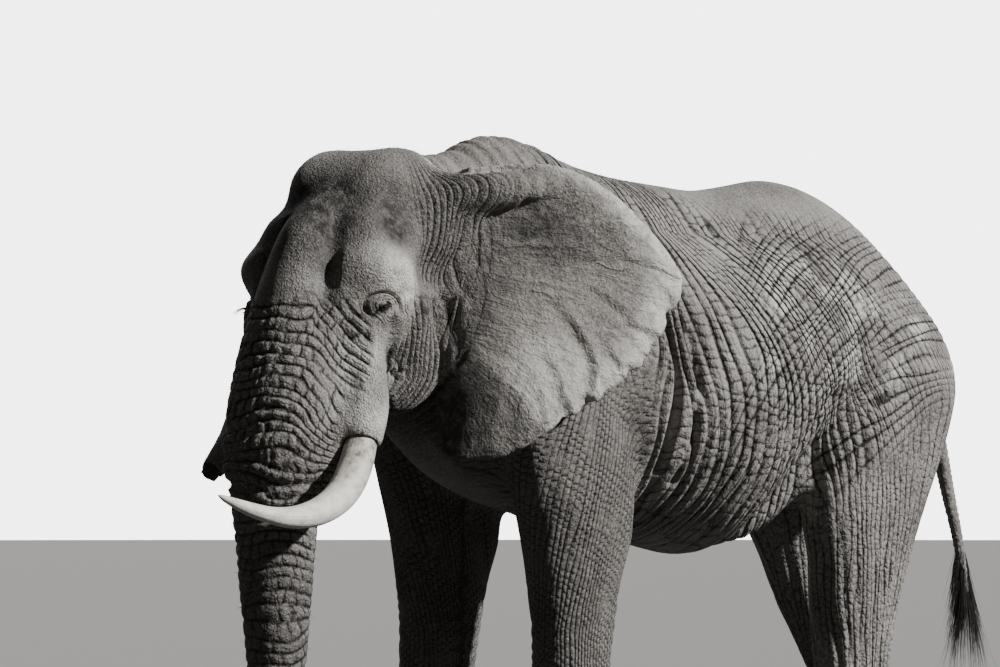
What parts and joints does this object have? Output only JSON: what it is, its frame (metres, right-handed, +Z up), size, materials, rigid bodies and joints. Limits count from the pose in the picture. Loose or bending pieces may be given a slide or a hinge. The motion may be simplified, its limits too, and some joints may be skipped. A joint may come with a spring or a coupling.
{
  "type": "elephant",
  "caption": "Life-size still model of a standing African bush elephant bull, head turned slightly to its left, with a long curved tusk and a broken stub.",
  "frame": {"origin": "centre of the bottom of the animal's box, on the floor that its feet stand on", "axes": "-Y is the way the animal walks, so +Y runs back to its tail along its greatest length; +X is the animal's left; +Z is up"},
  "size_m": [1.9008, 5.0234, 3.3021],
  "materials": {
    "skin": "dry wrinkled grey hide with dust in its folds",
    "ivory": "worn cream ivory, satin, stained towards its root",
    "eye": "wet dark brown eyeball",
    "nail": "dull scuffed horn",
    "hair": "coarse black wiry hair"
  },
  "bodies": {
    "root": {"torso": "skin", "head": "skin", "neck": "skin", "trunk_upper": "skin", "trunk_middle": "skin", "trunk_lower": "skin", "foreleg_left": "skin", "foreleg_right": "skin", "hindleg_left": "skin", "hindleg_right": "skin", "ear_left": "skin", "ear_right": "skin", "tail": "skin", "tail_tuft": "hair", "eye_left": "eye", "eye_right": "eye", "tusk_left": "ivory", "tusk_right": "ivory", "nail_foreleg_left_1": "nail", "nail_foreleg_left_2": "nail", "nail_foreleg_left_3": "nail", "nail_foreleg_left_4": "nail", "nail_foreleg_right_1": "nail", "nail_foreleg_right_2": "nail", "nail_foreleg_right_3": "nail", "nail_foreleg_right_4": "nail", "nail_hindleg_left_1": "nail", "nail_hindleg_left_2": "nail", "nail_hindleg_left_3": "nail", "nail_hindleg_right_1": "nail", "nail_hindleg_right_2": "nail", "nail_hindleg_right_3": "nail"}
  },
  "joints": []
}
